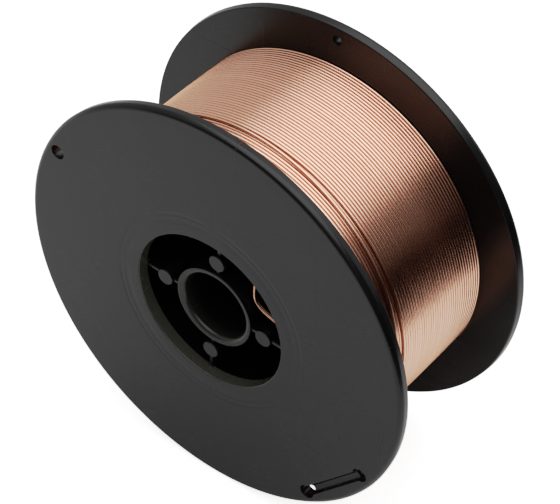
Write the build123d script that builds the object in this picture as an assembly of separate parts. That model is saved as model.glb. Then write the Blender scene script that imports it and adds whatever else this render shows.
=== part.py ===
from build123d import *
import os
from math import cos, pi, radians, sin, sqrt, tan

# Wire spool, 100 mm class: two moulded halves that meet at the middle of the
# barrel, and one length of welding wire wound on them.
# Frame: origin at the middle of the spindle bore, Y along the bore, Z up.
# The flange with the wire channel faces -Y. Angles are in the XZ plane, from +X towards +Z.

# ---- spool body, mm ----
SPOOL_D = 101.0
SPOOL_W = 45.4
FLANGE_T = 2.8
RIM_OUTER_ROUND = 1.15
RIM_DRAFT = 0.35
RIM_INNER_ROUND = 0.35
HUB_OPENING_D = 38.7
LIP_T = 3.0
LIP_ROUND = 0.3
BARREL_OD = 48.0
BARREL_ID = 44.0

# ---- spindle tube ----
TUBE_OD = 20.0
BORE_D = 16.5
TUBE_INSET = 1.7
BORE_MOUTH_ROUND = 1.2
TUBE_EDGE_ROUND = 0.15

# ---- ribs and joining posts between the tube and the barrel ----
RIB_COUNT = 4
RIB_FIRST_ANGLE = -5.0
RIB_T = 0.9
RIB_INSET = 2.2
RIB_ROOT = 0.6
POST_D = 4.1
POST_PCD = 26.8
POST_INSET = 1.6
PIN_D = 2.2
PIN_L = 4.0
PIN_ROOT = 1.0
PIN_CHAMFER = 0.3
SOCKET_EXTRA = 0.6

# ---- holes for the ends of the wire ----
HOLE_D = 3.4
HOLE_CIRCLE_R = 47.0
CHANNEL_ANGLES = (-30.3, -55.3)
CHANNEL_W = 2.3
CHANNEL_DEPTH = 1.35
FRONT_HOLE_ANGLE = 150.8
REAR_HOLE_D = 2.4
REAR_HOLE_ANGLE = 88.8
WINDOW_W = 3.0
WINDOW_L = 2.4
WINDOW_GAP = 0.3
CUT_MARGIN = 1.0

# ---- wire and winding ----
WIRE_D = 0.8
WIRE_CLEARANCE = 0.02
TURNS_PER_LAYER = 49
FULL_LAYERS = 23
TOP_LAYER_TURNS = 34

HALF_W = SPOOL_W / 2
FLANGE_IN = HALF_W - FLANGE_T
RIM_R = SPOOL_D / 2
LIP_R = HUB_OPENING_D / 2
LIP_BACK = LIP_T - HALF_W
BARREL_R = BARREL_OD / 2
CAVITY_R = BARREL_ID / 2
TUBE_R = TUBE_OD / 2
BORE_R = BORE_D / 2
TUBE_MOUTH = TUBE_INSET - HALF_W
RIB_FRONT = RIB_INSET - HALF_W
RIM_INNER_R = RIM_R - RIM_DRAFT
POST_CIRCLE_R = POST_PCD / 2
RIB_ANGLES = [RIB_FIRST_ANGLE + k * 360 / RIB_COUNT for k in range(RIB_COUNT)]

PITCH = 2 * FLANGE_IN / TURNS_PER_LAYER
LAYER_STEP = sqrt(WIRE_D**2 - (PITCH / 2) ** 2)
WINDING_R = BARREL_R + WIRE_D + (FULL_LAYERS - 1) * LAYER_STEP
TOP_R = WINDING_R + LAYER_STEP
TOP_EDGE_Y = FLANGE_IN - PITCH / 2 - TOP_LAYER_TURNS * PITCH

# The wire's last turn lies on the full layers, beside the unfinished top one. It
# starts at the bottom of the far side and, past LEAVE_ANGLE, drifts away from its
# neighbour, by LEAVE_SLOPE mm per degree.
LAST_TURN_R = WINDING_R + WIRE_D / 2 + WIRE_CLEARANCE
LAST_TURN_Y = TOP_EDGE_Y - WIRE_D / 2 - WIRE_CLEARANCE
LAST_TURN_START = 200
LAST_TURN_STEP = 15
LEAVE_ANGLE = 95
LEAVE_SLOPE = 0.0195

# From there it runs straight down to the upper hole of the channel: x, y, z.
LAST_RUN = [
    (40.49, -12.3, -4.0),
    (40.71, -15.0, -12.4),
    (40.51, -17.2, -18.8),
    (40.41, -18.5, -22.2),
    (40.45, -20.5, -24.4),
]

# The wire's start comes in through the barrel window, turns back beside the
# spindle tube and ends in the cavity: x, y, z.
START_TAIL = [
    (23.9, -18.45, 0.55),
    (19.3, -18.45, 1.5),
    (14.5, -18.45, 2.95),
    (11.1, -18.45, 4.3),
    (9.35, -18.45, 6.2),
    (9.2, -18.45, 8.9),
    (9.75, -18.45, 12.4),
    (10.9, -18.45, 15.6),
]

# Section plane with x outwards from the bore and y along it.
ALONG_BORE = Plane(origin=(0, 0, 0), x_dir=(1, 0, 0), z_dir=(0, 0, 1))


def polar(radius, angle):
    """Point in the XZ plane at this radius and angle, as (x, z)."""
    return radius * cos(radians(angle)), radius * sin(radians(angle))


def ring(inner_r, outer_r, y0, y1):
    """Plain ring about the bore axis, from y0 to y1."""
    section = Pos((inner_r + outer_r) / 2, (y0 + y1) / 2) * Rectangle(outer_r - inner_r, y1 - y0)
    return revolve(ALONG_BORE * section, Axis.Y)


def rod(radius, centre, y0, y1):
    """Round rod parallel to the bore axis, from y0 to y1, about centre, (x, z)."""
    x, z = centre
    return extrude(Plane((x, y0, z), x_dir=(1, 0, 0), z_dir=(0, 1, 0)) * Circle(radius), y1 - y0)


def rounded(outline, corner, radius):
    """The outline with the corner at this point, (x, y), rounded."""
    return fillet(outline.vertices().sort_by_distance(corner)[0], radius)


# ---- spool halves, drawn as the front one, which ends at y = 0 ----
def flange_and_barrel():
    """Flange, lip around the hub opening and half of the barrel, as one turned shape."""
    outline = make_face(
        Polyline(
            (LIP_R, -HALF_W),
            (RIM_R, -HALF_W),
            (RIM_INNER_R, -FLANGE_IN),
            (BARREL_R, -FLANGE_IN),
            (BARREL_R, 0),
            (CAVITY_R, 0),
            (CAVITY_R, LIP_BACK),
            (LIP_R, LIP_BACK),
            close=True,
        )
    )
    outline = rounded(outline, (RIM_R, -HALF_W), RIM_OUTER_ROUND)
    outline = rounded(outline, (RIM_INNER_R, -FLANGE_IN), RIM_INNER_ROUND)
    outline = rounded(outline, (LIP_R, -HALF_W), LIP_ROUND)
    return revolve(outline, Axis.Y)


def spindle_tube():
    """Half of the tube that runs on the machine's spindle, with a rounded mouth."""
    outline = make_face(
        Polyline(
            (BORE_R, TUBE_MOUTH),
            (TUBE_R, TUBE_MOUTH),
            (TUBE_R, 0),
            (BORE_R, 0),
            close=True,
        )
    )
    outline = rounded(outline, (BORE_R, TUBE_MOUTH), BORE_MOUTH_ROUND)
    outline = rounded(outline, (TUBE_R, TUBE_MOUTH), TUBE_EDGE_ROUND)
    return revolve(outline, Axis.Y)


def rib(angle):
    """Radial web from the tube to the lip and the barrel wall."""
    inner = TUBE_R - RIB_ROOT
    outer = CAVITY_R + RIB_ROOT
    web = Box(outer - inner, -RIB_FRONT, RIB_T)
    return Rot(0, -angle, 0) * Pos((inner + outer) / 2, RIB_FRONT / 2, 0) * web


def post(angle):
    return rod(POST_D / 2, polar(POST_CIRCLE_R, angle), POST_INSET - HALF_W, 0)


def blank_half():
    """What the two mouldings share."""
    half = flange_and_barrel() + spindle_tube()
    for angle in RIB_ANGLES:
        half += rib(angle)
        half += post(angle)
    return half


def flange_hole(diameter, angle):
    centre = polar(HOLE_CIRCLE_R, angle)
    return rod(diameter / 2, centre, -HALF_W - CUT_MARGIN, -FLANGE_IN + CUT_MARGIN)


def wire_channel():
    """Round-bottomed channel in the outer face, between the two holes for the wire's end."""
    (x0, z0), (x1, z1) = [polar(HOLE_CIRCLE_R, angle) for angle in CHANNEL_ANGLES]
    run = Vector(x1 - x0, 0, z1 - z0)
    bottom_r = CHANNEL_W / 2
    straight = CHANNEL_DEPTH - bottom_r
    across = Plane((x0, -HALF_W, z0), x_dir=(0, 1, 0), z_dir=run)
    sides = Pos((straight - CUT_MARGIN) / 2, 0) * Rectangle(straight + CUT_MARGIN, CHANNEL_W)
    section = sides + Pos(straight, 0) * Circle(bottom_r)
    return extrude(across * section, run.length)


def barrel_window():
    """Slot in the barrel wall, beside the flange, where the wire starts."""
    centre_y = -FLANGE_IN + WINDOW_GAP + WINDOW_L / 2
    return Pos((BARREL_R + CAVITY_R) / 2, centre_y, 0) * Box(BARREL_OD - BARREL_ID, WINDOW_L, WINDOW_W)


def spool_half_front():
    """Half with the wire channel, and a pin on the end of each post."""
    half = blank_half() - wire_channel() - barrel_window()
    for angle in (*CHANNEL_ANGLES, FRONT_HOLE_ANGLE):
        half -= flange_hole(HOLE_D, angle)
    for angle in RIB_ANGLES:
        pin = rod(PIN_D / 2, polar(POST_CIRCLE_R, angle), -PIN_ROOT, PIN_L)
        half += chamfer(pin.edges().sort_by(Axis.Y)[-1], PIN_CHAMFER)
    return half


def spool_half_rear():
    """Plain half, turned to face the front one, with a socket in the end of each post."""
    half = mirror(blank_half() - flange_hole(REAR_HOLE_D, REAR_HOLE_ANGLE), Plane.XZ)
    for angle in RIB_ANGLES:
        half -= rod(PIN_D / 2, polar(POST_CIRCLE_R, angle), -CUT_MARGIN, PIN_L + SOCKET_EXTRA)
    return half


# ---- wire ----
def wire_winding():
    """All the full layers, as one closed ring of their outer shape."""
    return ring(BARREL_R, WINDING_R, -FLANGE_IN, FLANGE_IN)


def wire_top_layer():
    """The last layer, which stops part of the way to the front flange."""
    return ring(WINDING_R, TOP_R, TOP_EDGE_Y, FLANGE_IN)


def arc_radii(points):
    """The widest arc that fits each corner: 0.45 of its shorter run."""
    radii = []
    for before, corner, after in zip(points, points[1:], points[2:]):
        run_in = Vector(corner) - Vector(before)
        run_out = Vector(after) - Vector(corner)
        half_turn = radians(run_in.get_angle(run_out) / 2)
        radii.append(0.45 * min(run_in.length, run_out.length) / tan(half_turn))
    return radii


def wire_along(points, name):
    """Round wire along straight runs that are joined by tangent arcs."""
    radii = arc_radii(points)
    path = FilletPolyline(*points, radius=radii)
    wire = sweep(Plane(path @ 0, z_dir=path % 0) * Circle(WIRE_D / 2), path)
    exact = path.length * pi * WIRE_D**2 / 4
    print(f"{name}: length {path.length:.1f} mm, smallest radius {min(radii):.1f} mm")
    print(f"{name}: volume is {wire.volume / exact:.4f} of section times length")
    return wire


def wire_last_turn():
    """The last turn around the winding, then the run to its hole in the front flange."""
    corner_r = LAST_TURN_R / cos(radians(LAST_TURN_STEP / 2))
    points = []
    for angle in range(LAST_TURN_START, 0, -LAST_TURN_STEP):
        x, z = polar(corner_r, angle)
        drift = LEAVE_SLOPE * max(0, LEAVE_ANGLE - angle)
        points.append((x, LAST_TURN_Y - drift, z))
    return wire_along(points + LAST_RUN, "wire_last_turn")


def wire_start_tail():
    return wire_along(START_TAIL, "wire_start_tail")


PARTS = [
    spool_half_front,
    spool_half_rear,
    wire_winding,
    wire_top_layer,
    wire_last_turn,
    wire_start_tail,
]

os.makedirs("parts", exist_ok=True)
for build in PARTS:
    solid = build()
    solid.label = build.__name__
    export_step(solid, f"parts/{build.__name__}.step")
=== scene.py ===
from math import atan2, cos, pi, radians, sin, sqrt, tan

import bmesh
import bpy
import numpy as np
from mathutils import Matrix, Vector


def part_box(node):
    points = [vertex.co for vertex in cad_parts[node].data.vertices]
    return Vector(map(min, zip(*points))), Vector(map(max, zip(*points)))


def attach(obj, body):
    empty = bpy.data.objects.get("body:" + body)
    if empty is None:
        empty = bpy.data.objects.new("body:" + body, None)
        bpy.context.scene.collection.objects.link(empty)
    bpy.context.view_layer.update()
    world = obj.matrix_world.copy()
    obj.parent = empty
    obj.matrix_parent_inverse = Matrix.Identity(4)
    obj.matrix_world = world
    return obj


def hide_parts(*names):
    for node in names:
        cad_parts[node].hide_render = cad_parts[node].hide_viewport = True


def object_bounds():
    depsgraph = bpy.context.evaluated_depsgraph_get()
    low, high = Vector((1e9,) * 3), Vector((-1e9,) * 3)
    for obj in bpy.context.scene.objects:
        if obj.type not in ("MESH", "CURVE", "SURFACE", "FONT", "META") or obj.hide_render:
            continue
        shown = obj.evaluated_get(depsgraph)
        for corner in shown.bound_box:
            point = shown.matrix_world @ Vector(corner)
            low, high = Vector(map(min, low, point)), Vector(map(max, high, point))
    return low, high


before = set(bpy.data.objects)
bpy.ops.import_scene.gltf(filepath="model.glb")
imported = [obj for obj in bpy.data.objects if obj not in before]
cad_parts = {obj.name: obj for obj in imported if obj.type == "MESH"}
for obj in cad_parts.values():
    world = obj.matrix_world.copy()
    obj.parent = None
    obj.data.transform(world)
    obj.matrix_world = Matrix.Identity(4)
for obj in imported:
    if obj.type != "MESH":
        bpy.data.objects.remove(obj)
cad_low, cad_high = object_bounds()

# Wire spool: two moulded halves, meeting at the middle of the barrel, and one
# length of copper-coated wire. Shapes are drawn in millimetres and scaled to
# metres when their object is made. Y runs along the spindle bore, the flange
# with the wire channel faces -Y, and angles are in the XZ plane, from +X to +Z.
MM = 0.001

# ---- sizes from the frame ----
HALF_W = cad_high.y / MM
winding_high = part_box("wire_winding")[1]
FLANGE_IN = winding_high.y / MM
WINDING_R = winding_high.x / MM

# ---- spool body, mm ----
RIM_R = 50.5
RIM_INNER_R = 50.15
RIM_OUTER_ROUND = 1.15
RIM_INNER_ROUND = 0.35
HUB_OPENING_R = 19.35
LIP_BACK = 3.0 - HALF_W
LIP_ROUND = 0.3
BARREL_R = 24.0
CAVITY_R = 22.0
TUBE_R = 10.0
BORE_R = 8.25
BORE_MOUTH_ROUND = 1.2
TUBE_EDGE_ROUND = 0.15
TUBE_MOUTH = 1.7 - HALF_W
RIB_ANGLES = (-5, 85, 175, 265)
RIB_T = 0.9
RIB_FRONT = 2.2 - HALF_W
RIB_ROOT = 0.6
POST_R = 2.05
POST_CIRCLE_R = 13.4
POST_END = 1.6 - HALF_W
PIN_R = 1.1
PIN_L = 4.0
SOCKET_L = 4.6
EDGE_ROUND = 0.22
JOINT_GAP = 0.02
FLANGE_RUN = 4.0
TUBE_RUN = 5
RING_RUN = 2.0
FACE_RINGS = (20.6, 26.0, 0.22)

# ---- sink marks round the hub opening: (radius, width) of each, and their depth, mm ----
SINK_RINGS = ((23.0, 0.9), (24.5, 0.35))
SINK_DEPTH = 0.05
SINK_AT_RIB = 0.25
SINK_RIB_SPREAD = 9

# ---- holes for the ends of the wire ----
HOLE_R = 1.7
REAR_HOLE_R = 1.2
HOLE_CIRCLE_R = 47.0
CHANNEL_ANGLES = (-30.3, -55.3)
CHANNEL_HALF_W = 1.15
CHANNEL_DEPTH = 1.35
FRONT_HOLE_ANGLE = 150.8
REAR_HOLE_ANGLE = 88.8
HOLE_ROUND = 0.15
WINDOW_W = 3.0
WINDOW_L = 2.4
WINDOW_GAP = 0.3
CUT_MARGIN = 1.0

# ---- wire and winding ----
WIRE_R = 0.4
PLACES_PER_LAYER = 48.5
LOWER_LAYER_TURNS = 48
TOP_LAYER_TURNS = 34
LOWER_TURNS_SHOWN = 17
PITCH = 2 * FLANGE_IN / PLACES_PER_LAYER
LOWER_R = WINDING_R - WIRE_R
CROSSING_ANGLE = 235
CROSSING_WIDTH = 34
WIRE_SIDES = 12
WOBBLE_Y = 0.004
WOBBLE_R = 0.006
STEPS_PER_TURN = 180

# ---- camera ----
VIEW_AZIMUTH = 38.15
VIEW_ELEVATION = 42.8
VIEW_DISTANCE = 0.4847
VIEW_LENS = 142.92
VIEW_SHIFT = (0.0100, 0.0052)


def add_camera():
    azimuth = radians(VIEW_AZIMUTH)
    elevation = radians(VIEW_ELEVATION)
    level = cos(elevation)
    back = Vector((sin(azimuth) * level, -cos(azimuth) * level, sin(elevation)))
    data = bpy.data.cameras.new("camera")
    data.sensor_width = 36
    data.lens = VIEW_LENS
    data.shift_x, data.shift_y = VIEW_SHIFT
    camera = bpy.data.objects.new("camera", data)
    camera.location = back * VIEW_DISTANCE
    camera.rotation_mode = "QUATERNION"
    camera.rotation_quaternion = (-back).to_track_quat("-Z", "Y")
    bpy.context.scene.collection.objects.link(camera)
    bpy.context.scene.camera = camera


# ---- meshes ----
def polar(radius, angle):
    """Point in the XZ plane at this radius and angle, as (x, z)."""
    return radius * cos(radians(angle)), radius * sin(radians(angle))


def add_mesh(name, points, faces):
    """Object from points in mm."""
    mesh = bpy.data.meshes.new(name)
    mesh.from_pydata(points, [], faces)
    mesh.validate()
    thing = bpy.data.objects.new(name, mesh)
    bpy.context.scene.collection.objects.link(thing)
    return thing


def rounded(corners, steps=5):
    """Outline through corners (u, v, rounding radius), with the rounded ones as arcs."""
    outline = []
    for k, (u, v, rounding) in enumerate(corners):
        corner = Vector((u, v))
        if not rounding:
            outline.append(corner)
            continue
        before = (Vector(corners[k - 1][:2]) - corner).normalized()
        after = (Vector(corners[(k + 1) % len(corners)][:2]) - corner).normalized()
        half = before.angle(after) / 2
        centre = corner + (before + after).normalized() * (rounding / sin(half))
        start = corner + before * (rounding / tan(half)) - centre
        end = corner + after * (rounding / tan(half)) - centre
        spokes = [start.lerp(end, i / steps).normalized() for i in range(steps + 1)]
        outline += [centre + spoke * rounding for spoke in spokes]
    return outline


def divided(outline, longest):
    """Closed outline with its long runs cut into equal shorter ones."""
    points = []
    for here, after in zip(outline, outline[1:] + outline[:1]):
        count = max(1, round((after - here).length / longest))
        points += [here.lerp(after, i / count) for i in range(count)]
    return points


def turned(name, outline, segments=256, centre=(0, 0), closed=True):
    """Outline of (r, y) points turned about a line parallel to the bore. An open one gets end caps."""
    points = []
    faces = []
    count = len(outline)
    for s in range(segments):
        across, up = cos(2 * pi * s / segments), sin(2 * pi * s / segments)
        points += [(centre[0] + r * across, y, centre[1] + r * up) for r, y in outline]
        here, beside = s * count, (s + 1) % segments * count
        for k in range(count if closed else count - 1):
            n = (k + 1) % count
            faces.append((here + k, here + n, beside + n, beside + k))
    if not closed:
        faces.append([s * count for s in range(segments)][::-1])
        faces.append([s * count + count - 1 for s in range(segments)])
    return add_mesh(name, points, faces)


def prism(name, section, origin, across, up, along):
    """Section of (u, v) points, drawn on across and up from origin, pushed along a vector."""
    origin, across, up, along = map(Vector, (origin, across, up, along))
    near = [origin + across * u + up * v for u, v in section]
    count = len(near)
    faces = [(k, (k + 1) % count, (k + 1) % count + count, k + count) for k in range(count)]
    faces += [list(range(count))[::-1], list(range(count, 2 * count))]
    return add_mesh(name, near + [point + along for point in near], faces)


def face_outwards(thing):
    bm = bmesh_of(thing)
    bmesh.ops.recalc_face_normals(bm, faces=bm.faces)
    bm.to_mesh(thing.data)
    bm.free()


def bmesh_of(thing):
    bm = bmesh.new()
    bm.from_mesh(thing.data)
    return bm


def combine(base, tools, operation):
    """Joins the tools to the base, or cuts them out of it, and removes them."""
    group = bpy.data.collections.new("tools")
    for tool in tools:
        face_outwards(tool)
        group.objects.link(tool)
    face_outwards(base)
    modifier = base.modifiers.new("combine", "BOOLEAN")
    modifier.operand_type = "COLLECTION"
    modifier.collection = group
    modifier.operation = operation
    modifier.solver = "EXACT"
    graph = bpy.context.evaluated_depsgraph_get()
    base.data = bpy.data.meshes.new_from_object(base.evaluated_get(graph))
    base.modifiers.clear()
    for tool in tools:
        bpy.data.objects.remove(tool)
    bpy.data.collections.remove(group)
    return base


# ---- spool halves, drawn as the front one, which ends at y = 0 ----
def flange_and_barrel():
    corners = [
        (HUB_OPENING_R, -HALF_W, LIP_ROUND),
        *[(r, -HALF_W, 0) for r in np.arange(*FACE_RINGS)],
        (RIM_R, -HALF_W, RIM_OUTER_ROUND),
        (RIM_INNER_R, -FLANGE_IN, RIM_INNER_ROUND),
        (BARREL_R, -FLANGE_IN, EDGE_ROUND),
        (BARREL_R, 0, EDGE_ROUND),
        (CAVITY_R, 0, EDGE_ROUND),
        (CAVITY_R, LIP_BACK, EDGE_ROUND),
        (HUB_OPENING_R, LIP_BACK, EDGE_ROUND),
    ]
    return turned("flange", divided(rounded(corners), FLANGE_RUN))


def spindle_tube():
    corners = [
        (BORE_R, TUBE_MOUTH, BORE_MOUTH_ROUND),
        (TUBE_R, TUBE_MOUTH, TUBE_EDGE_ROUND),
        (TUBE_R, 0, EDGE_ROUND),
        (BORE_R, 0, EDGE_ROUND),
    ]
    return turned("tube", divided(rounded(corners), TUBE_RUN), segments=128)


def rib(angle):
    """Radial web between the tube and the barrel, with a rounded front edge."""
    outwards = Vector((cos(radians(angle)), 0, sin(radians(angle))))
    sideways = Vector((-sin(radians(angle)), 0, cos(radians(angle))))
    half = RIB_T / 2
    section = rounded([
        (-half, -JOINT_GAP, 0),
        (half, -JOINT_GAP, 0),
        (half, RIB_FRONT, EDGE_ROUND),
        (-half, RIB_FRONT, EDGE_ROUND),
    ])
    inner = TUBE_R - RIB_ROOT
    length = CAVITY_R + RIB_ROOT - inner
    return prism("rib", section, outwards * inner, sideways, (0, 1, 0), outwards * length)


def rod(name, radius, centre, y0, y1, rounding=0.0, segments=48):
    """Round rod whose end at y0 is rounded."""
    arc = [i * pi / 8 for i in range(5)] if rounding else [pi / 2]
    inwards = rounding if y1 > y0 else -rounding
    outline = [(radius - rounding * (1 - sin(a)), y0 + inwards * (1 - cos(a))) for a in arc]
    return turned(name, outline + [(radius, y1)], segments, centre, closed=False)


def hub_frame():
    """The tube, its ribs and the posts on them, as one shape."""
    tools = [rib(angle) for angle in RIB_ANGLES]
    for angle in RIB_ANGLES:
        centre = polar(POST_CIRCLE_R, angle)
        tools.append(rod("post", POST_R, centre, POST_END, -JOINT_GAP, EDGE_ROUND))
    return combine(spindle_tube(), tools, "UNION")


def hole_cutter(radius, angle):
    """Cutter for a hole through a flange, with rounded edges."""
    arc = [i * pi / 8 for i in range(5)]
    flare = [(radius + HOLE_ROUND * (1 - sin(a)), HOLE_ROUND * (1 - cos(a))) for a in arc]
    outline = [(radius + HOLE_ROUND, -HALF_W - CUT_MARGIN)]
    outline += [(r, -HALF_W + depth) for r, depth in flare]
    outline += [(r, -FLANGE_IN - depth) for r, depth in flare[::-1]]
    outline += [(radius + HOLE_ROUND, -FLANGE_IN + CUT_MARGIN)]
    return turned("hole", outline, 48, polar(HOLE_CIRCLE_R, angle), closed=False)


def channel_cutter():
    """Cutter for the round-bottomed channel between two of the holes."""
    (x0, z0), (x1, z1) = [polar(HOLE_CIRCLE_R, angle) for angle in CHANNEL_ANGLES]
    run = Vector((x1 - x0, 0, z1 - z0))
    outer = CHANNEL_HALF_W + HOLE_ROUND
    side = [(outer, -CUT_MARGIN)]
    for i in range(5):
        turn = i * pi / 8
        side.append((outer - HOLE_ROUND * sin(turn), HOLE_ROUND * (1 - cos(turn))))
    bottom = []
    for i in range(13):
        turn = i * pi / 12
        depth = CHANNEL_DEPTH - CHANNEL_HALF_W * (1 - sin(turn))
        bottom.append((CHANNEL_HALF_W * cos(turn), depth))
    section = side + bottom + [(-u, v) for u, v in side[::-1]]
    across = run.normalized().cross(Vector((0, 1, 0)))
    return prism("channel", section, (x0, -HALF_W, z0), across, (0, 1, 0), run)


def window_cutter():
    """Cutter for the slot in the barrel wall where the wire starts."""
    half = WINDOW_W / 2
    near = -FLANGE_IN + WINDOW_GAP
    section = [(-half, near), (half, near), (half, near + WINDOW_L), (-half, near + WINDOW_L)]
    inner = CAVITY_R - CUT_MARGIN
    length = BARREL_R + CUT_MARGIN - inner
    return prism("window", section, (inner, 0, 0), (0, 0, 1), (0, 1, 0), (length, 0, 0))


def sink_depth(x, z):
    """How far the outer face sinks, opposite the barrel wall behind it."""
    r = sqrt(x * x + z * z)
    ring = sum(np.exp(-((r - middle) / width) ** 2) for middle, width in SINK_RINGS)
    angle = atan2(z, x)
    gap = min(abs((angle - radians(a) + pi) % (2 * pi) - pi) for a in RIB_ANGLES)
    away = min(1.0, gap / radians(SINK_RIB_SPREAD))
    return SINK_DEPTH * ring * (SINK_AT_RIB + (1 - SINK_AT_RIB) * away)


def spool_half(name, holes, cutters, pins):
    """One moulded half, finished but for the side it faces."""
    half = combine(flange_and_barrel(), [hub_frame()], "UNION")
    half = combine(half, [hole_cutter(*hole) for hole in holes] + cutters, "DIFFERENCE")
    if pins:
        half = combine(half, pins, "UNION")
    half.name = half.data.name = name
    for vertex in half.data.vertices:
        if vertex.co.y < -HALF_W + 0.001:
            vertex.co.y += sink_depth(vertex.co.x, vertex.co.z)
    return half


def finish_shape(thing, sharp_angle=32):
    """Scales a shape to metres and smooths its shading up to this angle."""
    thing.data.transform(Matrix.Scale(MM, 4))
    thing.data.shade_smooth()
    thing.data.set_sharp_from_angle(angle=radians(sharp_angle))
    return thing


def flatten_shading(thing):
    weighted = thing.modifiers.new("weighted_normals", "WEIGHTED_NORMAL")
    weighted.keep_sharp = True


def front_half():
    holes = [(HOLE_R, angle) for angle in (*CHANNEL_ANGLES, FRONT_HOLE_ANGLE)]
    cutters = [channel_cutter(), window_cutter()]
    posts = [polar(POST_CIRCLE_R, angle) for angle in RIB_ANGLES]
    pins = [rod("pin", PIN_R, post, PIN_L, -CUT_MARGIN, EDGE_ROUND) for post in posts]
    return finish_shape(spool_half("front_half", holes, cutters, pins))


def rear_half():
    posts = [polar(POST_CIRCLE_R, angle) for angle in RIB_ANGLES]
    sockets = [rod("socket", PIN_R, post, -SOCKET_L, CUT_MARGIN) for post in posts]
    half = spool_half("rear_half", [(REAR_HOLE_R, REAR_HOLE_ANGLE)], sockets, [])
    half.data.transform(Matrix.Scale(-1, 4, (0, 1, 0)))
    face_outwards(half)
    return finish_shape(half)


# ---- wire ----
def wire(name, path, outwards):
    """Round wire along a path in mm. Its seam faces away from outwards, a direction per point.
    Its UV map holds metres along the wire, and the share of the way around."""
    tangent = np.gradient(path, axis=0)
    tangent /= np.linalg.norm(tangent, axis=1, keepdims=True)
    side = outwards - np.sum(outwards * tangent, axis=1, keepdims=True) * tangent
    side /= np.linalg.norm(side, axis=1, keepdims=True)
    other = np.cross(tangent, side)
    around = pi + np.arange(WIRE_SIDES) * 2 * pi / WIRE_SIDES
    ring = side[:, None] * np.cos(around)[:, None] + other[:, None] * np.sin(around)[:, None]
    points = (path[:, None] + WIRE_R * ring).reshape(-1, 3)
    row = np.arange(len(path) - 1)[:, None] * WIRE_SIDES
    here = np.arange(WIRE_SIDES)[None, :]
    beside = (here + 1) % WIRE_SIDES
    quads = np.stack(
        [row + here, row + beside, row + beside + WIRE_SIDES, row + here + WIRE_SIDES], -1
    )
    last = (len(path) - 1) * WIRE_SIDES
    caps = [list(range(WIRE_SIDES))[::-1], list(range(last, last + WIRE_SIDES))]
    thing = add_mesh(name, points.tolist(), quads.reshape(-1, 4).tolist() + caps)

    along = np.concatenate([[0], np.cumsum(np.linalg.norm(np.diff(path, axis=0), axis=1))]) * MM
    u = np.stack([along[:-1], along[:-1], along[1:], along[1:]], -1)[:, None, :].repeat(WIRE_SIDES, 1)
    v = (here[0][:, None] + np.array([0, 1, 1, 0])) / WIRE_SIDES
    quad_uv = np.stack([u, np.broadcast_to(v, u.shape)], -1).reshape(-1, 2)
    cap_uv = np.repeat([[along[0], 0.5], [along[-1], 0.5]], WIRE_SIDES, axis=0)
    layer = thing.data.uv_layers.new(name="along_wire")
    layer.data.foreach_set("uv", np.concatenate([quad_uv, cap_uv]).ravel().astype(np.float32))
    return thing


def crossing(turn):
    """Whole turns so far, plus the eased step to the next place within the crossing."""
    whole = np.floor(turn)
    share = CROSSING_WIDTH / 360
    step = np.clip((turn - whole - 1 + share) / share, 0, 1)
    return whole + step * step * (3 - 2 * step)


def wobble(turn, size, seed, per_turn=14):
    """Small smooth irregularity along a wire."""
    rng = np.random.default_rng(seed)
    knots = rng.normal(0, size, int(turn[-1] * per_turn) + 4)
    place = turn * per_turn
    low = place.astype(int)
    t = place - low
    t = t * t * (3 - 2 * t)
    return knots[low] * (1 - t) + knots[low + 1] * t


def lower_place(turn_share, index):
    """Y of the lower layer's strand with this index, at this share of a turn past the crossing."""
    return FLANGE_IN - PITCH - index * PITCH + PITCH * crossing(turn_share)


def ride_height(turn, y):
    """Radius of a strand that rests on the lower layer's strands."""
    place = (lower_place(turn % 1, 0) - y) / PITCH
    offset = (place - np.round(place)) * PITCH
    return LOWER_R + np.sqrt((2 * WIRE_R) ** 2 - offset**2)


def around_spool(turn, radius, y):
    """Path at this many turns past the crossing, and its outward directions."""
    angle = np.radians(CROSSING_ANGLE - 360 * turn)
    outwards = np.stack([np.cos(angle), np.zeros_like(angle), np.sin(angle)], -1)
    path = outwards * radius[:, None]
    path[:, 1] = y
    return path, outwards


def lower_layer():
    """The turns of the last full layer that the top layer leaves in view, from the front flange."""
    turn = np.linspace(0, LOWER_TURNS_SHOWN, LOWER_TURNS_SHOWN * STEPS_PER_TURN + 1)
    y = FLANGE_IN - LOWER_LAYER_TURNS * PITCH + PITCH * crossing(turn)
    y = y + wobble(turn, WOBBLE_Y, 3)
    radius = LOWER_R + wobble(turn, WOBBLE_R, 4)
    return wire("lower_layer", *around_spool(turn, radius, y))


# How far the last turn has drifted from its neighbour at each angle.
DRIFT_ANGLES = (100, 66, 48, 32, 20, 10)
DRIFTS = (0.0, 0.62, 0.93, 1.18, 1.5, 1.9)

# From the winding down to the upper hole of the channel: x, y, z.
LAST_RUN = [
    (40.49, -12.3, -4.0),
    (40.71, -15.0, -12.4),
    (40.51, -17.2, -18.8),
    (40.41, -18.5, -22.2),
    (40.45, -20.5, -24.4),
]

# From the barrel window, back beside the spindle tube, to the end in the cavity.
START_TAIL = [
    (23.9, -18.45, 0.55),
    (19.3, -18.45, 1.5),
    (14.5, -18.45, 2.95),
    (11.1, -18.45, 4.3),
    (9.35, -18.45, 6.2),
    (9.2, -18.45, 8.9),
    (9.75, -18.45, 12.4),
    (10.9, -18.45, 15.6),
]


def smooth_through(points, spacing=0.25):
    """Catmull-Rom curve through points, as many short steps."""
    points = np.array(points, float)
    points = np.vstack([2 * points[0] - points[1], points, 2 * points[-1] - points[-2]])
    path = []
    for a, b, c, d in zip(points, points[1:], points[2:], points[3:]):
        count = max(2, int(np.linalg.norm(c - b) / spacing))
        t = np.arange(count)[:, None] / count
        square = (2 * a - 5 * b + 4 * c - d) * t**2
        cube = (3 * b - a - 3 * c + d) * t**3
        path.append(0.5 * (2 * b + (c - a) * t + square + cube))
    path.append(points[-2:-1])
    return np.vstack(path)


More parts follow.
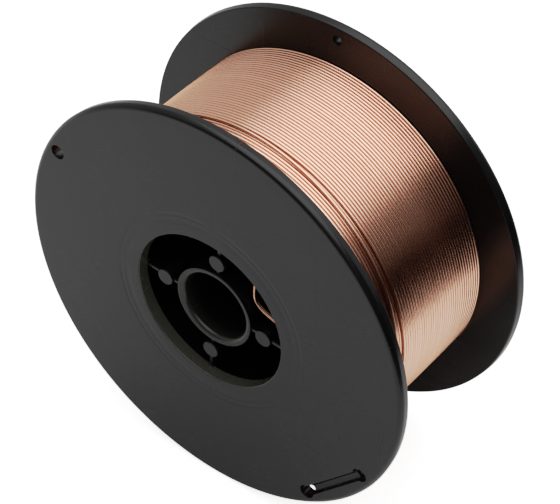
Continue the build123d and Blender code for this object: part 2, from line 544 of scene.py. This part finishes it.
def top_layer():
    """The unfinished top layer, its last turn and the run to the hole, as one wire."""
    last_angle = DRIFT_ANGLES[-1]
    turns = TOP_LAYER_TURNS + (CROSSING_ANGLE - last_angle) / 360
    turn = np.linspace(0, turns, int(turns * STEPS_PER_TURN))
    y = FLANGE_IN - PITCH / 2 - PITCH * crossing(turn)
    angle = CROSSING_ANGLE - 360 * (turn - TOP_LAYER_TURNS)
    drift = np.interp(-angle, [-a for a in DRIFT_ANGLES], DRIFTS)
    on_last = turn > TOP_LAYER_TURNS
    y = y - np.where(on_last, drift, 0) + wobble(turn, WOBBLE_Y, 1)
    radius = ride_height(turn, y) + wobble(turn, WOBBLE_R, 2)
    path, outwards = around_spool(turn, radius, y)
    run = smooth_through([path[-1 - STEPS_PER_TURN // 24], path[-1], *LAST_RUN])
    first_kept = int(np.argmin(np.linalg.norm(run - path[-1], axis=1))) + 1
    run = run[first_kept:]
    outwards = np.vstack([outwards, np.broadcast_to(outwards[-1], run.shape)])
    return wire("top_layer_and_last_turn", np.vstack([path, run]), outwards)


def inner_layers():
    """The layers under the ones in view, as one closed ring of their outer shape."""
    corners = [
        (BARREL_R, -FLANGE_IN, EDGE_ROUND),
        (LOWER_R, -FLANGE_IN, EDGE_ROUND),
        (LOWER_R, FLANGE_IN, EDGE_ROUND),
        (BARREL_R, FLANGE_IN, EDGE_ROUND),
    ]
    return turned("inner_layers", divided(rounded(corners), RING_RUN), segments=180)


def start_tail():
    path = smooth_through(START_TAIL)
    return wire("start_tail", path, np.broadcast_to([0.0, 1.0, 0.0], path.shape))


# ---- materials ----
PLASTIC_DARK = (0.0068, 0.0068, 0.0070, 1)
PLASTIC_LIGHT = (0.0100, 0.0100, 0.0102, 1)
PLASTIC_WORN = (0.04, 0.04, 0.04, 1)
# Painted light: a lighter grey that stands in for the light on the walls of the hub opening and the
# tube's mouth.
PLASTIC_PAINTED_LIGHT = (0.076, 0.075, 0.065, 1)
DUST = (0.12, 0.12, 0.11, 1)
COPPER_BRIGHT = (0.95, 0.59, 0.46, 1)
COPPER_DEEP = (0.90, 0.53, 0.40, 1)
COPPER_DULL = (0.62, 0.32, 0.22, 1)
COPPER_FLANK = (0.55, 0.34, 0.25, 1)
COPPER_EDGE_TINT = (0.92, 0.68, 0.54, 1)
OUTSIDE_V = 0.5

# Painted light on the walls of the hub opening and the tube's mouth, in metres: from low to high of a
# distance, and from one share to another.
LIP_OUTSIDE = (0.01955, 0.01940, 0.0, 1.0)
LIP_INSIDE = (0.0188, 0.0190, 0.0, 1.0)
LIP_DEPTH = (0.0190, 0.0200, 0.0, 1.0)
MOUTH_OUTSIDE = (0.0093, 0.0090, 0.0, 1.0)
MOUTH_DEPTH = (0.0170, 0.0205, 0.0, 0.35)


def new_material(name):
    material = bpy.data.materials.new(name)
    material.use_nodes = True
    return material, material.node_tree.nodes["Principled BSDF"]


def add_node(material, kind, **inputs):
    """Node of this kind with its sockets set; a value that is an output socket is linked."""
    node = material.node_tree.nodes.new(kind)
    for name, value in inputs.items():
        socket = node.inputs[name.replace("_", " ")]
        if isinstance(value, bpy.types.NodeSocket):
            material.node_tree.links.new(value, socket)
        else:
            socket.default_value = value
    return node


def link(material, output, socket):
    material.node_tree.links.new(output, socket)


def spread(material, value, low, high, to_low, to_high):
    """Value from low..high, clamped and carried to to_low..to_high."""
    node = add_node(material, "ShaderNodeMapRange", Value=value, From_Min=low, From_Max=high)
    node.inputs["To Min"].default_value = to_low
    node.inputs["To Max"].default_value = to_high
    return node.outputs["Result"]


def blend(material, share, one, two):
    """Colour from one to two by share; each is a colour or an output socket."""
    node = material.node_tree.nodes.new("ShaderNodeMix")
    node.data_type = "RGBA"
    for name, value in ((0, share), (6, one), (7, two)):
        if isinstance(value, bpy.types.NodeSocket):
            material.node_tree.links.new(value, node.inputs[name])
        else:
            node.inputs[name].default_value = value
    return node.outputs[2]


def stretched(material, coordinate, scale, turn=(0, 0, 0)):
    node = add_node(material, "ShaderNodeMapping", Vector=coordinate, Scale=scale, Rotation=turn)
    return node.outputs["Vector"]


def noise(material, vector, scale, detail=3.0):
    node = add_node(material, "ShaderNodeTexNoise", Vector=vector, Scale=scale, Detail=detail)
    return node.outputs["Fac"]


def combined(material, operation, one, two):
    """Math node on two outputs."""
    node = add_node(material, "ShaderNodeMath")
    node.operation = operation
    link(material, one, node.inputs[0])
    link(material, two, node.inputs[1])
    return node.outputs[0]


def product(material, first, *others):
    for other in others:
        first = combined(material, "MULTIPLY", first, other)
    return first


def either(material, one, two):
    return combined(material, "MAXIMUM", one, two)


def painted_light_on_mouths(material, place):
    """Share of painted light: greyer plastic that stands in for the light on the walls of the hub
    opening and of the tube's mouth.
    """
    flat = stretched(material, place, (1, 0, 1))
    radius = add_node(material, "ShaderNodeVectorMath", Vector=flat)
    radius.operation = "LENGTH"
    depth = material.node_tree.nodes.new("ShaderNodeSeparateXYZ")
    link(material, place, depth.inputs[0])
    from_middle = add_node(material, "ShaderNodeMath")
    from_middle.operation = "ABSOLUTE"
    link(material, depth.outputs["Y"], from_middle.inputs[0])
    outer = from_middle.outputs[0]
    distance = radius.outputs["Value"]
    lip_out = spread(material, distance, *LIP_OUTSIDE)
    lip_in = spread(material, distance, *LIP_INSIDE)
    lip_deep = spread(material, outer, *LIP_DEPTH)
    mouth_out = spread(material, distance, *MOUTH_OUTSIDE)
    mouth_deep = spread(material, outer, *MOUTH_DEPTH)
    lip = product(material, lip_out, lip_in, lip_deep)
    mouth = product(material, mouth_out, mouth_deep)
    return either(material, lip, mouth)


def spool_plastic():
    """Black moulded plastic: satin, faintly mottled, with hair scratches, a little dust, and painted
    light on the walls of the hub opening and the tube's mouth.
    """
    material, shader = new_material("spool_plastic")
    place = material.node_tree.nodes.new("ShaderNodeTexCoord").outputs["Object"]
    mottle = noise(material, place, 70.0, 4.0)
    grain = noise(material, place, 2600.0, 2.0)
    scratch_a = noise(material, stretched(material, place, (30, 30, 900), (0, 0.7, 0)), 1.0, 2.0)
    scratch_b = noise(material, stretched(material, place, (800, 30, 25), (0, 0.3, 0)), 1.0, 2.0)
    hair_a = spread(material, scratch_a, 0.70, 0.76, 0.0, 1.0)
    hair_b = spread(material, scratch_b, 0.71, 0.77, 0.0, 1.0)
    hairs = either(material, hair_a, hair_b)
    speck = material.node_tree.nodes.new("ShaderNodeTexVoronoi")
    link(material, place, speck.inputs["Vector"])
    speck.inputs["Scale"].default_value = 130.0
    dust = spread(material, speck.outputs["Distance"], 0.018, 0.012, 0.0, 1.0)

    tone = spread(material, mottle, 0.35, 0.65, 0.0, 1.0)
    base = blend(material, tone, PLASTIC_DARK, PLASTIC_LIGHT)
    worn = blend(material, spread(material, hairs, 0.0, 1.0, 0.0, 0.14), base, PLASTIC_WORN)
    dusty = blend(material, dust, worn, DUST)
    # Painted light: the walls of the hub opening and the tube's mouth get a lighter grey for the light
    # they catch.
    with_painted_light = blend(material, painted_light_on_mouths(material, place), dusty, PLASTIC_PAINTED_LIGHT)
    link(material, with_painted_light, shader.inputs["Base Color"])
    satin = spread(material, mottle, 0.3, 0.7, 0.24, 0.29)
    scratched = spread(material, hairs, 0.0, 1.0, 0.0, 0.12)
    link(material, combined(material, "ADD", satin, scratched), shader.inputs["Roughness"])
    bump = add_node(material, "ShaderNodeBump", Height=grain, Strength=0.05, Distance=0.00003)
    link(material, bump.outputs["Normal"], shader.inputs["Normal"])
    return material


def copper_wire():
    """Drawn wire with a thin copper coat: fine marks along it, duller stretches, and darker
    sides that stand in for the shade between turns."""
    material, shader = new_material("copper_wire")
    coordinates = material.node_tree.nodes.new("ShaderNodeTexCoord")
    along = coordinates.outputs["UV"]
    drawn = noise(material, stretched(material, along, (90, 3, 1)), 1.0, 2.0)
    stretch = noise(material, stretched(material, along, (14, 0.4, 1)), 1.0, 3.0)
    patch = noise(material, coordinates.outputs["Object"], 55.0, 3.0)
    share = spread(material, stretch, 0.35, 0.65, 0.0, 1.0)
    tone = blend(material, share, COPPER_BRIGHT, COPPER_DEEP)
    dulled = spread(material, drawn, 0.60, 0.78, 0.0, 0.12)
    around = material.node_tree.nodes.new("ShaderNodeSeparateXYZ")
    link(material, along, around.inputs[0])
    from_outside = add_node(material, "ShaderNodeMath", Value=around.outputs["Y"])
    from_outside.operation = "SUBTRACT"
    from_outside.inputs[1].default_value = OUTSIDE_V
    aside = add_node(material, "ShaderNodeMath", Value=from_outside.outputs[0])
    aside.operation = "ABSOLUTE"
    flank = spread(material, aside.outputs[0], 0.12, 0.25, 0.0, 1.0)
    coat = blend(material, dulled, tone, COPPER_DULL)
    link(material, blend(material, flank, coat, COPPER_FLANK), shader.inputs["Base Color"])
    shader.inputs["Metallic"].default_value = 1.0
    shader.inputs["Specular Tint"].default_value = COPPER_EDGE_TINT
    polish = spread(material, drawn, 0.3, 0.7, 0.18, 0.20)
    handled = spread(material, patch, 0.35, 0.65, 0.0, 0.05)
    link(material, combined(material, "ADD", polish, handled), shader.inputs["Roughness"])
    bump = add_node(material, "ShaderNodeBump", Height=drawn, Strength=0.05, Distance=0.00002)
    link(material, bump.outputs["Normal"], shader.inputs["Normal"])
    return material


# ---- floor and studio light ----
FLOOR_Z = cad_low.z
FLOOR_SIZE = 6.0
FLOOR_COLOUR = (0.90, 0.90, 0.90, 1)
FLOOR_GLOW = 1.3
SOFTBOX_PLACE = (0.10, 0.04, 0.62)
SOFTBOX_SIZE = 1.0
SOFTBOX_RADIANCE = 1.3
FLAG_X = 0.144
FLAG_TOP = 0.03
FLAG_HALF_L = 0.6
FLAG_COLOUR = (0.02, 0.02, 0.02, 1)


def add_plane(name, corners, colour):
    mesh = bpy.data.meshes.new(name)
    mesh.from_pydata(corners, [], [(0, 1, 2, 3)])
    plane = bpy.data.objects.new(name, mesh)
    bpy.context.scene.collection.objects.link(plane)
    material, shader = new_material(name)
    shader.inputs["Base Color"].default_value = colour
    shader.inputs["Roughness"].default_value = 0.9
    shader.inputs["Specular IOR Level"].default_value = 0.0
    shader.inputs["Emission Color"].default_value = (1, 1, 1, 1)
    mesh.materials.append(material)
    return plane


def add_floor():
    """Pale floor, which the camera sees a little brighter than its light makes it."""
    s = FLOOR_SIZE / 2
    corners = [(-s, -s, FLOOR_Z), (s, -s, FLOOR_Z), (s, s, FLOOR_Z), (-s, s, FLOOR_Z)]
    floor = add_plane("floor", corners, FLOOR_COLOUR)
    material = floor.data.materials[0]
    shader = material.node_tree.nodes["Principled BSDF"]
    seen = material.node_tree.nodes.new("ShaderNodeLightPath").outputs["Is Camera Ray"]
    glow = spread(material, seen, 0.0, 1.0, 0.0, FLOOR_GLOW)
    link(material, glow, shader.inputs["Emission Strength"])


def add_flag():
    """Black card on the right that only reflections see, as studios use for metal."""
    long = FLAG_HALF_L
    corners = [
        (FLAG_X, -long, FLOOR_Z), (FLAG_X, long, FLOOR_Z),
        (FLAG_X, long, FLAG_TOP), (FLAG_X, -long, FLAG_TOP),
    ]
    flag = add_plane("flag", corners, FLAG_COLOUR)
    flag.visible_camera = False
    flag.visible_diffuse = False
    flag.visible_shadow = False
    flag.visible_transmission = False


def add_softbox(name, place, aim, width, height, radiance):
    """Rectangular soft light, as bright as radiance says, seen from its front."""
    data = bpy.data.lights.new(name, "AREA")
    data.shape = "RECTANGLE"
    data.size, data.size_y = width, height
    data.energy = radiance * pi * width * height
    light = bpy.data.objects.new(name, data)
    light.location = place
    light.rotation_mode = "QUATERNION"
    light.rotation_quaternion = (Vector(aim) - Vector(place)).to_track_quat("-Z", "Y")
    light.visible_camera = False
    bpy.context.scene.collection.objects.link(light)


# Studio walls as seen from the spool: how bright they are by the sine of the
# angle towards the right, from the left wall to the dark one on the right.
WALLS = [
    (-1.0, 0.50), (-0.6, 0.56), (-0.35, 0.70), (0.2, 0.85),
    (0.56, 0.82), (0.70, 0.28), (0.79, 0.09), (1.0, 0.05),
]

# The room in front of the spool is dark: from this Y to that one, and this share to that.
DARK_FRONT = (-0.85, -0.55, 0.18, 1.0)


def add_walls():
    world = bpy.data.worlds.new("studio")
    bpy.context.scene.world = world
    world.use_nodes = True
    nodes = world.node_tree.nodes
    links = world.node_tree.links
    background = nodes["Background"]
    direction = nodes.new("ShaderNodeTexCoord").outputs["Generated"]
    split = nodes.new("ShaderNodeSeparateXYZ")
    links.new(direction, split.inputs[0])
    place = nodes.new("ShaderNodeMapRange")
    links.new(split.outputs["X"], place.inputs["Value"])
    place.inputs["From Min"].default_value = -1.0
    ramp = nodes.new("ShaderNodeValToRGB")
    links.new(place.outputs["Result"], ramp.inputs["Fac"])
    ramp.color_ramp.interpolation = "B_SPLINE"
    elements = ramp.color_ramp.elements
    while len(elements) < len(WALLS):
        elements.new(0.5)
    for element, (sideways, level) in zip(elements, WALLS):
        element.position = (sideways + 1) / 2
        element.color = (level, level, level, 1)
    seen = nodes.new("ShaderNodeLightPath")
    choose = nodes.new("ShaderNodeMix")
    choose.data_type = "RGBA"
    links.new(seen.outputs["Is Camera Ray"], choose.inputs[0])
    front = nodes.new("ShaderNodeMapRange")
    links.new(split.outputs["Y"], front.inputs["Value"])
    front.interpolation_type = "SMOOTHSTEP"
    for name, value in zip(("From Min", "From Max", "To Min", "To Max"), DARK_FRONT):
        front.inputs[name].default_value = value
    shade = nodes.new("ShaderNodeVectorMath")
    shade.operation = "SCALE"
    links.new(ramp.outputs["Color"], shade.inputs[0])
    links.new(front.outputs["Result"], shade.inputs["Scale"])
    links.new(shade.outputs["Vector"], choose.inputs[6])
    choose.inputs[7].default_value = (1, 1, 1, 1)
    links.new(choose.outputs[2], background.inputs["Color"])


# How the picture holds light: linear scene brightness against what is shown.
TONE = [
    (0.0, 0.0), (0.02, 0.009), (0.04, 0.026), (0.07, 0.056), (0.10, 0.090),
    (0.15, 0.150), (0.21, 0.225), (0.35, 0.395), (0.45, 0.475), (0.6, 0.56),
    (0.94, 0.69), (1.3, 0.83), (1.6, 0.94), (1.8, 1.0),
]


def set_tone():
    """Studio contrast: deep blacks, and highlights that roll off."""
    view = bpy.context.scene.view_settings
    view.view_transform = "Standard"
    view.use_curve_mapping = True
    curves = view.curve_mapping
    white = TONE[-1][0]
    curves.white_level = (white, white, white)
    points = curves.curves[3].points
    points[0].location = TONE[0]
    points[1].location = (1.0, TONE[-1][1])
    for level, shown in TONE[1:-1]:
        points.new(level / white, shown)
    curves.update()


# ---- the scene ----
add_camera()
add_floor()
add_flag()
add_walls()
add_softbox("top_light", SOFTBOX_PLACE, (0, 0, 0), SOFTBOX_SIZE, SOFTBOX_SIZE, SOFTBOX_RADIANCE)
set_tone()

plastic = spool_plastic()
copper = copper_wire()


def place_piece(piece, material, slot, *nodes):
    """Gives a finished piece its material, hangs it on the root body and hides the CAD nodes it stands
    in for.
    """
    piece.data.materials.clear()
    piece.data.materials.append(material)
    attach(piece, "root")
    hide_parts(*nodes)


for build, node in ((front_half, "spool_half_front"), (rear_half, "spool_half_rear")):
    piece = build()
    flatten_shading(piece)
    place_piece(piece, plastic, "spool_plastic", node)

WIRE_PIECES = (
    (inner_layers, ("wire_winding",)),
    (lower_layer, ("wire_winding",)),
    (top_layer, ("wire_top_layer", "wire_last_turn")),
    (start_tail, ("wire_start_tail",)),
)
for build, nodes in WIRE_PIECES:
    piece = finish_shape(build(), sharp_angle=50)
    place_piece(piece, copper, "copper_wire", *nodes)
